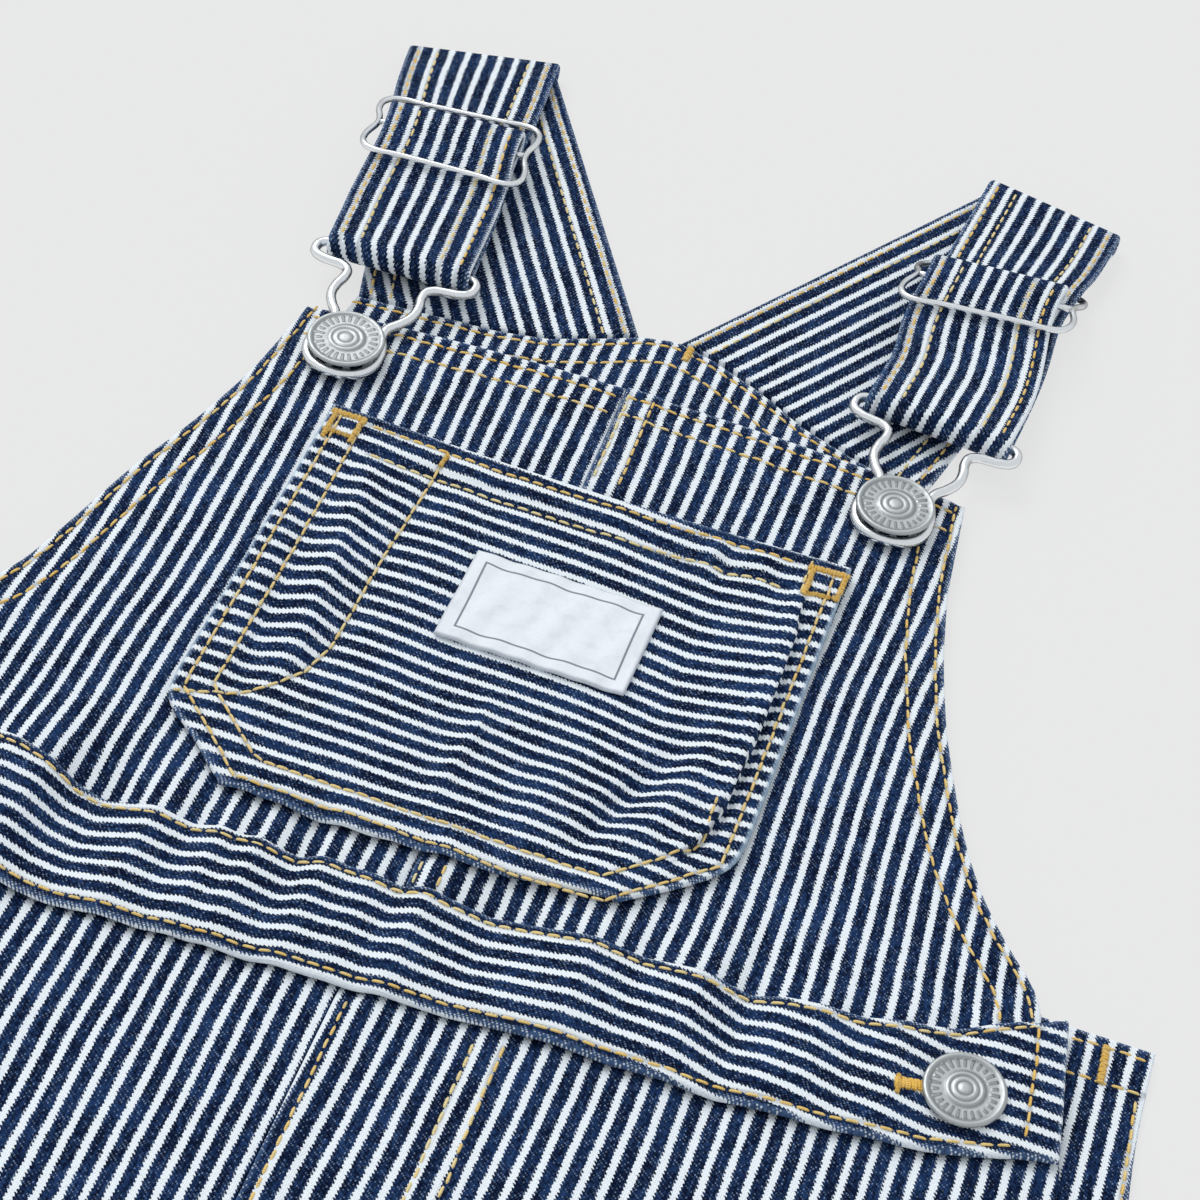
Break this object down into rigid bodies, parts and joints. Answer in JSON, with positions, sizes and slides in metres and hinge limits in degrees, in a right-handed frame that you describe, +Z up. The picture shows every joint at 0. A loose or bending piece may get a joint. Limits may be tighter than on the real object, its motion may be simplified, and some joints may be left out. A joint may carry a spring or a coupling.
{
  "type": "kids bib overalls laid flat",
  "caption": "Kids bib overalls in hickory-striped denim, laid flat front up: bib with pocket, waistband, legs, straps with sliders and wire buckles, metal buttons.",
  "frame": {"origin": "middle of the ground that the laid garment covers, on the ground", "axes": "+Y towards the shoulders, +X towards the wearer's left, +Z up out of the garment's front"},
  "size_m": [0.278, 0.5438, 0.0098],
  "materials": {
    "denim": "navy and off-white hickory stripe denim, 3.2 mm repeat, washed",
    "label": "plain white woven label",
    "nickel": "satin nickel plate"
  },
  "bodies": {
    "root": {"bib_left": "denim", "bib_right": "denim", "bib_pocket": "denim", "pocket_label": "label", "waistband_front": "denim", "front_leg_left": "denim", "front_leg_right": "denim", "back_leg_left": "denim", "back_leg_right": "denim", "back_panel": "denim", "strap_left": "denim", "strap_right": "denim", "buckle_left": "nickel", "buckle_right": "nickel", "slider_left": "nickel", "slider_right": "nickel", "bib_button_left": "nickel", "bib_button_right": "nickel", "hip_button_left": "nickel", "hip_button_right": "nickel"}
  },
  "joints": []
}
